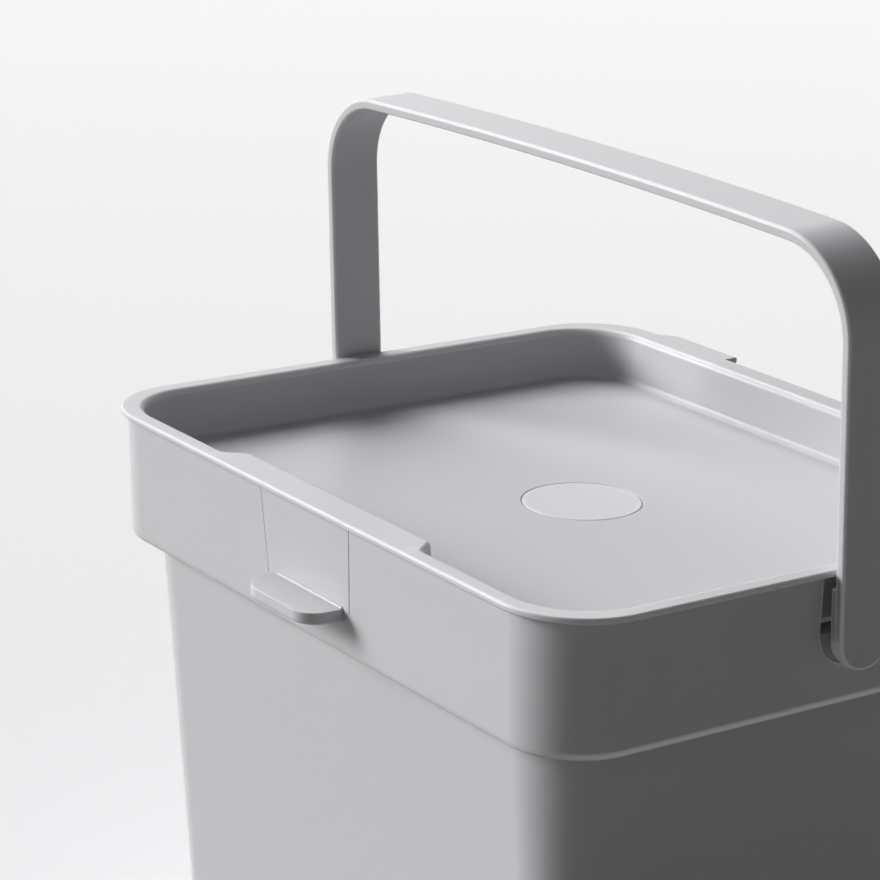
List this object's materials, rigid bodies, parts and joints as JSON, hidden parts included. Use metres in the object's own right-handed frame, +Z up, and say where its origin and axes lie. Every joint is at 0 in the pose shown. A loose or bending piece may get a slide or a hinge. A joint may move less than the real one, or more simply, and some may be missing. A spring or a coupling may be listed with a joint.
{
  "type": "lidded bin",
  "caption": "Rectangular lidded bin: tapered bucket, drop-over collar, hinged tray lid with a sprung front press tab, and a flat bail handle.",
  "frame": {"origin": "centre of the bucket's foot ring, on the surface it stands on", "axes": "+Z up, -Y to the front with the latch tab, +X to the right seen from the front"},
  "size_m": [0.3094, 0.2629, 0.372],
  "materials": {
    "shell": "fine satin, moulded",
    "inlay": "fine satin, moulded",
    "seal": "matte",
    "pin_steel": "drawn"
  },
  "bodies": {
    "bin": {"bucket": "shell", "collar": "shell", "hinge_pin_left": "pin_steel", "hinge_pin_right": "pin_steel", "handle_pin_left": "pin_steel", "handle_pin_right": "pin_steel"},
    "lid": {"lid": "shell", "lid_disc": "inlay", "lid_seal": "seal"},
    "latch": {"latch_tongue": "shell"},
    "handle": {"handle": "shell"}
  },
  "joints": [
    {"name": "lid_hinge", "type": "hinge", "parent": "bin", "child": "lid", "pos_m": [0, 0.1244, 0.254], "axis": [-1, 0, 0], "range_deg": [0, 29]},
    {"name": "handle_swing", "type": "hinge", "parent": "bin", "child": "handle", "pos_m": [0, 0, 0.2312], "axis": [-1, 0, 0], "range_deg": [-119, 124]},
    {"name": "latch_flex", "type": "hinge", "parent": "bin", "child": "latch", "pos_m": [0, -0.119, 0.2235], "axis": [1, 0, 0], "range_deg": [0, 4.5], "stiffness_Nm_per_rad": 2}
  ]
}
